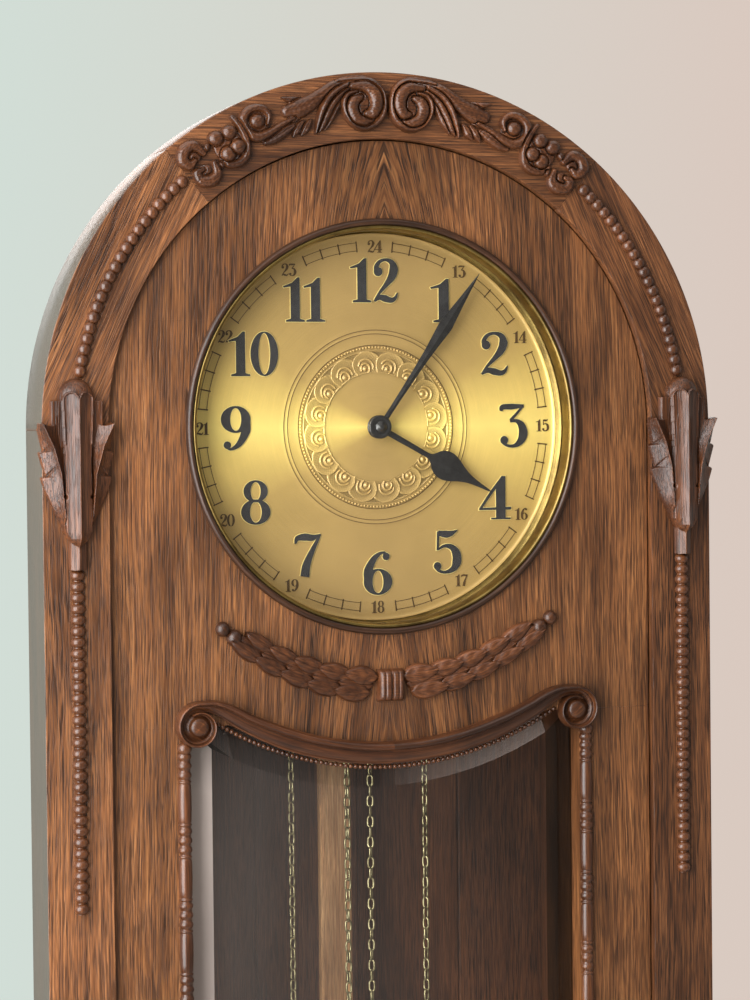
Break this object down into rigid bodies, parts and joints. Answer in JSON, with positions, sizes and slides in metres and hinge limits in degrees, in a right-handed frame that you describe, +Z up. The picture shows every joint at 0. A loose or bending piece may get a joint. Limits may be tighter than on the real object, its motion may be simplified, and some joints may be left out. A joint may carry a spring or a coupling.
{
  "type": "longcase clock",
  "caption": "Tall oak longcase clock with an arched carved case, full-length glazed door, round brass dial, chain-wound weights and a swinging pendulum.",
  "frame": {"origin": "on the floor under the middle of the plinth", "axes": "+Z up, the dial faces -Y, +X to the right as seen from the front"},
  "size_m": [0.56, 0.242, 1.95],
  "materials": {
    "oak_frame": "stained oak, waxed",
    "oak_case": "stained oak, satin",
    "oak_carved": "carved oak, polished",
    "oak_door": "oak veneer, waxed",
    "clear_glass": "clear",
    "dial_brass": "spun and lacquered",
    "movement_brass": "satin",
    "polished_brass": "polished",
    "chain_brass": "drawn wire",
    "black_steel": "blackened",
    "steel": "satin",
    "rod_wood": "varnished"
  },
  "bodies": {
    "case": {"base_board": "oak_frame", "plinth_front": "oak_frame", "plinth_left": "oak_frame", "plinth_right": "oak_frame", "stile_left": "oak_frame", "stile_right": "oak_frame", "frame_bottom_rail": "oak_frame", "arch_left": "oak_frame", "arch_crown": "oak_frame", "arch_right": "oak_frame", "side_left": "oak_case", "side_right": "oak_case", "roof_panel": "oak_case", "back_board": "oak_case", "seat_board": "oak_case", "bead_strings": "oak_carved", "leaf_corbels": "oak_carved", "crest_carving": "oak_carved", "front_plate": "movement_brass", "back_plate": "movement_brass", "dial_plate": "dial_brass", "gong": "steel", "case_hinge_leaves": "polished_brass", "weight_chain_left": "chain_brass", "weight_chain_right": "chain_brass", "ring_chain_left": "chain_brass", "ring_chain_right": "chain_brass"},
    "door": {"door_stile_left": "oak_door", "door_stile_right": "oak_door", "door_bottom_rail": "oak_door", "door_apron": "oak_door", "door_head": "oak_door", "door_glass": "clear_glass", "dial_glass": "clear_glass", "dial_lip": "oak_carved", "laurel_swag": "oak_carved", "scroll_moulding": "oak_carved", "bead_columns": "oak_carved", "door_hinge_leaves": "polished_brass", "lock_case": "steel"},
    "lock_bolt": {"lock_bolt": "steel"},
    "minute_hand": {"minute_hand": "black_steel", "cannon_pinion": "movement_brass"},
    "minute_wheel": {"minute_wheel": "movement_brass"},
    "hour_hand": {"hour_hand": "black_steel", "hour_wheel": "movement_brass"},
    "great_wheel": {"great_wheel": "movement_brass"},
    "centre_wheel": {"centre_wheel": "movement_brass"},
    "third_wheel": {"third_wheel": "movement_brass"},
    "escape_wheel": {"escape_wheel": "movement_brass"},
    "anchor": {"anchor": "steel"},
    "pendulum": {"pendulum_rod": "rod_wood", "pendulum_bob": "polished_brass"},
    "weight_left": {"weight_left": "polished_brass"},
    "weight_right": {"weight_right": "polished_brass"},
    "pull_ring_left": {"pull_ring_left": "polished_brass"},
    "pull_ring_right": {"pull_ring_right": "polished_brass"},
    "sprocket_left": {"sprocket_left": "movement_brass"},
    "strike_wheel": {"strike_wheel": "movement_brass"},
    "hammer": {"hammer": "steel"}
  },
  "joints": [
    {"name": "door_swing", "type": "hinge", "parent": "case", "child": "door", "pos_m": [0.2029, -0.097, 1], "axis": [0, 0, 1], "range_deg": [0, 90]},
    {"name": "bolt_slide", "type": "slide", "parent": "door", "child": "lock_bolt", "axis": [-1, 0, 0], "range_m": [0, 0.008]},
    {"name": "minute_turn", "type": "hinge", "parent": "case", "child": "minute_hand", "pos_m": [0, -0.036, 1.7], "axis": [0, 1, 0], "continuous": true},
    {"name": "minute_wheel_turn", "type": "hinge", "parent": "case", "child": "minute_wheel", "pos_m": [0.009, -0.036, 1.68441], "axis": [0, 1, 0], "continuous": true},
    {"name": "hour_turn", "type": "hinge", "parent": "case", "child": "hour_hand", "pos_m": [0, -0.036, 1.7], "axis": [0, 1, 0], "continuous": true},
    {"name": "third_turn", "type": "hinge", "parent": "case", "child": "third_wheel", "pos_m": [0.01279, -0.036, 1.72171], "axis": [0, 1, 0], "continuous": true},
    {"name": "centre_turn", "type": "hinge", "parent": "case", "child": "centre_wheel", "pos_m": [0, -0.036, 1.7], "axis": [0, 1, 0], "continuous": true},
    {"name": "great_turn", "type": "hinge", "parent": "case", "child": "great_wheel", "pos_m": [-0.0305, -0.036, 1.67171], "axis": [0, 1, 0], "continuous": true},
    {"name": "escape_turn", "type": "hinge", "parent": "case", "child": "escape_wheel", "pos_m": [0, -0.036, 1.73761], "axis": [0, 1, 0], "continuous": true},
    {"name": "pendulum_swing", "type": "hinge", "parent": "case", "child": "pendulum", "pos_m": [0, 0.039, 1.76299], "axis": [0, 1, 0], "range_deg": [-3, 3]},
    {"name": "anchor_rock", "type": "hinge", "parent": "case", "child": "anchor", "pos_m": [0, -0.036, 1.76299], "axis": [0, 1, 0], "range_deg": [-3, 3]},
    {"name": "left_weight_slide", "type": "slide", "parent": "case", "child": "weight_left", "axis": [0, 0, 1], "range_m": [-0.57, 0.34], "deforming": ["weight_chain_left"]},
    {"name": "left_ring_slide", "type": "slide", "parent": "case", "child": "pull_ring_left", "axis": [0, 0, 1], "range_m": [-0.34, 0.57], "deforming": ["ring_chain_left"]},
    {"name": "left_sprocket_turn", "type": "hinge", "parent": "case", "child": "sprocket_left", "pos_m": [-0.0305, -0.036, 1.67171], "axis": [0, 1, 0], "range_deg": [-1521, 908]},
    {"name": "right_weight_slide", "type": "slide", "parent": "case", "child": "weight_right", "axis": [0, 0, 1], "range_m": [-0.57, 0.34], "deforming": ["weight_chain_right"]},
    {"name": "right_ring_slide", "type": "slide", "parent": "case", "child": "pull_ring_right", "axis": [0, 0, 1], "range_m": [-0.34, 0.57], "deforming": ["ring_chain_right"]},
    {"name": "strike_turn", "type": "hinge", "parent": "case", "child": "strike_wheel", "pos_m": [0.0305, -0.036, 1.67171], "axis": [0, 1, 0], "range_deg": [-908, 1521]},
    {"name": "hammer_lift", "type": "hinge", "parent": "case", "child": "hammer", "pos_m": [0.064, 0.062, 1.64], "axis": [0, 1, 0], "range_deg": [0, 12], "stiffness_Nm_per_rad": 0.6, "springref_deg": -17.19}
  ],
  "couplings": [
    {"joint": "minute_wheel_turn", "follows": "minute_turn", "ratio": -0.33333},
    {"joint": "hour_turn", "follows": "minute_turn", "ratio": 0.083333},
    {"joint": "centre_turn", "follows": "third_turn", "ratio": -0.125},
    {"joint": "great_turn", "follows": "third_turn", "ratio": 0.010417},
    {"joint": "escape_turn", "follows": "third_turn", "ratio": -7.5},
    {"joint": "anchor_rock", "follows": "pendulum_swing", "ratio": 1},
    {"joint": "left_ring_slide", "follows": "left_weight_slide", "ratio": -1},
    {"joint": "left_sprocket_turn", "follows": "left_weight_slide", "rad_per_m": 46.512},
    {"joint": "right_ring_slide", "follows": "right_weight_slide", "ratio": -1},
    {"joint": "strike_turn", "follows": "right_weight_slide", "rad_per_m": -46.512}
  ]
}
